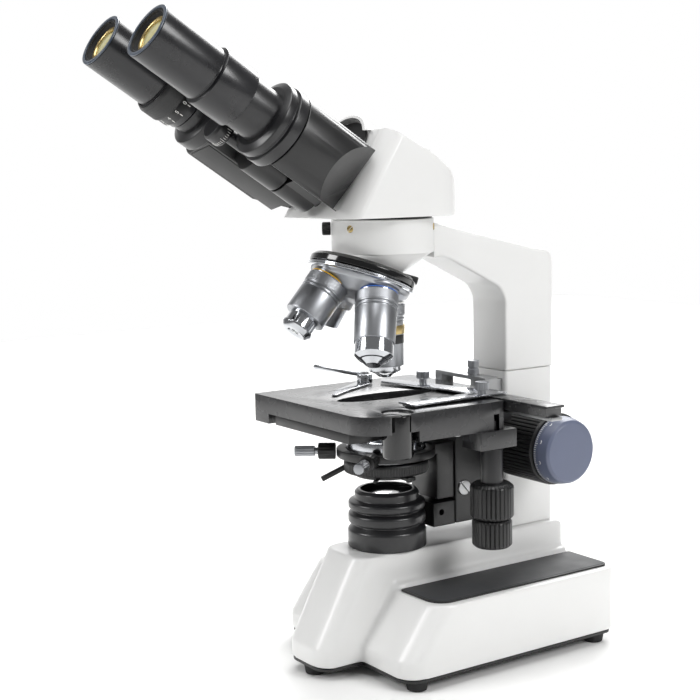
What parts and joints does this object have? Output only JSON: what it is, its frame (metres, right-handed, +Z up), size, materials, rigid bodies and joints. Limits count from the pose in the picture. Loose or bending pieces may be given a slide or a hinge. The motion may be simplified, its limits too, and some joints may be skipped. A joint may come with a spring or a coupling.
{
  "type": "microscope",
  "caption": "Binocular laboratory microscope with inclined butterfly eyepieces, revolving nosepiece, mechanical stage, condenser, coaxial focus knobs and a lamp in its base.",
  "frame": {"origin": "underside of the base plate, on the optical axis; the five feet reach 5.4 mm below it", "axes": "+Z up along the optical axis, -Y towards the user and the eyepieces, +X on the side of the stage drive knobs"},
  "size_m": [0.168, 0.2925, 0.3695],
  "materials": {
    "white_paint": "smooth satin white powder coat",
    "black_paint": "fine satin black enamel",
    "gloss_black": "polished black",
    "black_plastic": "moulded satin black",
    "rubber": "matt black",
    "grey_pad": "matt grey inlay",
    "chrome": "polished plate",
    "satin_metal": "satin turned metal",
    "satin_barrel": "satin anodised",
    "blue_grey": "satin blue-grey",
    "glass": "clear coated lens"
  },
  "bodies": {
    "stand": {"base_housing": "white_paint", "base_plate": "black_paint", "foot_nose": "rubber", "foot_front_right": "rubber", "foot_front_left": "rubber", "foot_rear_right": "rubber", "foot_rear_left": "rubber", "pad_right": "grey_pad", "pad_left": "grey_pad", "mains_inlet": "black_plastic", "lamp_collar": "black_paint", "collector_lens": "glass", "lamp_bulb": "glass", "pillar": "white_paint", "arm": "white_paint", "head_carrier": "white_paint", "nosepiece_cap": "gloss_black"},
    "power_switch": {"rocker_switch": "gloss_black"},
    "dimmer": {"dimmer_knob": "black_plastic"},
    "carriage": {"focus_carriage": "black_paint", "stage_lower": "black_paint"},
    "coarse_drive": {"coarse_shaft": "satin_metal", "coarse_knob_right": "black_plastic", "coarse_knob_left": "black_plastic"},
    "fine_drive": {"fine_shaft": "satin_metal", "fine_knob_right": "blue_grey", "fine_knob_left": "blue_grey"},
    "condenser": {"condenser_carrier": "black_paint", "condenser_body": "chrome", "condenser_lens": "glass"},
    "condenser_drive": {"condenser_knob": "black_plastic"},
    "iris": {"iris_ring": "black_plastic"},
    "filter_swing": {"filter_holder": "black_paint"},
    "centring_left": {"centring_screw_left": "chrome"},
    "centring_right": {"centring_screw_right": "chrome"},
    "stage": {"stage_upper": "black_paint", "stage_post": "gloss_black", "rear_stop": "satin_metal"},
    "y_drive": {"y_drive_knob": "black_plastic"},
    "slide_carriage": {"x_guide_bar": "black_paint", "slide_holder": "chrome"},
    "x_drive": {"x_drive_knob": "black_plastic"},
    "finger": {"slide_finger": "chrome"},
    "nosepiece": {"turret": "chrome", "objective_100x": "satin_barrel", "objective_40x": "satin_barrel", "objective_10x": "satin_barrel", "objective_4x": "satin_barrel"},
    "head": {"dovetail_ring": "black_paint", "head_body": "white_paint", "hinge_axle": "black_plastic", "hood_cap": "gloss_black"},
    "head_clamp": {"head_clamp_screw": "black_plastic"},
    "right_tube": {"tube_housing_right": "black_paint", "eyepiece_tube_right": "black_paint"},
    "left_tube": {"tube_housing_left": "black_paint", "eyepiece_tube_left": "black_paint"},
    "right_eyepiece": {"eyepiece_right": "black_plastic"},
    "left_eyepiece": {"eyepiece_left": "black_plastic"},
    "diopter": {"diopter_ring": "black_plastic"}
  },
  "joints": [
    {"name": "power_rocker", "type": "hinge", "parent": "stand", "child": "power_switch", "pos_m": [-0.003, 0.119, 0.0281], "axis": [1, 0, 0], "range_deg": [0, 12]},
    {"name": "dimmer_turn", "type": "hinge", "parent": "stand", "child": "dimmer", "pos_m": [-0.0245, 0.04, 0.0531], "axis": [1, 0, 0], "range_deg": [0, 270]},
    {"name": "focus_slide", "type": "slide", "parent": "stand", "child": "carriage", "axis": [0, 0, 1], "range_m": [-0.005, 0.009]},
    {"name": "coarse_turn", "type": "hinge", "parent": "stand", "child": "coarse_drive", "pos_m": [0, 0.085, 0.1166], "axis": [1, 0, 0], "range_deg": [-90, 60]},
    {"name": "fine_turn", "type": "hinge", "parent": "stand", "child": "fine_drive", "pos_m": [0, 0.085, 0.1166], "axis": [1, 0, 0], "continuous": true},
    {"name": "condenser_slide", "type": "slide", "parent": "carriage", "child": "condenser", "axis": [0, 0, 1], "range_m": [-0.0015, 0.006]},
    {"name": "condenser_turn", "type": "hinge", "parent": "carriage", "child": "condenser_drive", "pos_m": [-0.02, 0.046, 0.1006], "axis": [1, 0, 0], "range_deg": [-75, 20]},
    {"name": "iris_turn", "type": "hinge", "parent": "condenser", "child": "iris", "pos_m": [0, 0, 0.11], "axis": [0, 0, 1], "range_deg": [-45, 10]},
    {"name": "filter_turn", "type": "hinge", "parent": "condenser", "child": "filter_swing", "pos_m": [0.0226, 0, 0.105], "axis": [0, 0, 1], "range_deg": [0, 80]},
    {"name": "centring_left_turn", "type": "hinge", "parent": "condenser", "child": "centring_left", "pos_m": [-0.02155, -0.02758, 0.1181], "axis": [-0.6157, -0.788, 0], "range_deg": [-180, 180]},
    {"name": "centring_right_turn", "type": "hinge", "parent": "condenser", "child": "centring_right", "pos_m": [0.02155, -0.02758, 0.1181], "axis": [0.6157, -0.788, 0], "range_deg": [-180, 180]},
    {"name": "stage_y_slide", "type": "slide", "parent": "carriage", "child": "stage", "axis": [0, 1, 0], "range_m": [-0.012, 0.008]},
    {"name": "y_drive_turn", "type": "hinge", "parent": "stage", "child": "y_drive", "pos_m": [0.054, 0.0355, 0.093], "axis": [0, 0, 1], "range_deg": [-145, 100]},
    {"name": "stage_x_slide", "type": "slide", "parent": "stage", "child": "slide_carriage", "axis": [1, 0, 0], "range_m": [-0.025, 0.025]},
    {"name": "x_drive_turn", "type": "hinge", "parent": "stage", "child": "x_drive", "pos_m": [0.054, 0.0355, 0.074], "axis": [0, 0, 1], "range_deg": [-290, 290]},
    {"name": "finger_turn", "type": "hinge", "parent": "slide_carriage", "child": "finger", "pos_m": [-0.046, 0.0175, 0.152], "axis": [0, 0, 1], "range_deg": [-25, 0], "stiffness_Nm_per_rad": 0.02, "springref_deg": 11.46},
    {"name": "nosepiece_turn", "type": "hinge", "parent": "stand", "child": "nosepiece", "pos_m": [0, 0, 0.2616], "axis": [0, -0.3567, -0.9342], "continuous": true},
    {"name": "head_turn", "type": "hinge", "parent": "stand", "child": "head", "pos_m": [0, 0, 0.2548], "axis": [0, 0, 1], "continuous": true},
    {"name": "head_clamp_turn", "type": "hinge", "parent": "stand", "child": "head_clamp", "pos_m": [-0.01881, -0.02589, 0.2488], "axis": [-0.5878, -0.809, 0], "range_deg": [0, 180]},
    {"name": "tube_fold", "type": "hinge", "parent": "head", "child": "right_tube", "pos_m": [0, -0.0449, 0.2662], "axis": [0, -0.8406, 0.5417], "range_deg": [-20, 14.6]},
    {"name": "left_tube_fold", "type": "hinge", "parent": "head", "child": "left_tube", "pos_m": [0, -0.0449, 0.2662], "axis": [0, -0.8406, 0.5417], "range_deg": [-14.6, 20]},
    {"name": "right_eyepiece_slide", "type": "slide", "parent": "right_tube", "child": "right_eyepiece", "axis": [0, -0.8406, 0.5417], "range_m": [0, 0.02]},
    {"name": "left_eyepiece_slide", "type": "slide", "parent": "left_tube", "child": "left_eyepiece", "axis": [0, -0.8406, 0.5417], "range_m": [0, 0.02]},
    {"name": "diopter_turn", "type": "hinge", "parent": "left_eyepiece", "child": "diopter", "pos_m": [-0.02744, -0.03949, 0.2746], "axis": [0, -0.8406, 0.5417], "range_deg": [-60, 60]}
  ],
  "couplings": [
    {"joint": "coarse_turn", "follows": "focus_slide", "rad_per_m": -166.67},
    {"joint": "condenser_turn", "follows": "condenser_slide", "rad_per_m": -200},
    {"joint": "y_drive_turn", "follows": "stage_y_slide", "rad_per_m": 200},
    {"joint": "x_drive_turn", "follows": "stage_x_slide", "rad_per_m": 200},
    {"joint": "left_tube_fold", "follows": "tube_fold", "ratio": -1}
  ]
}
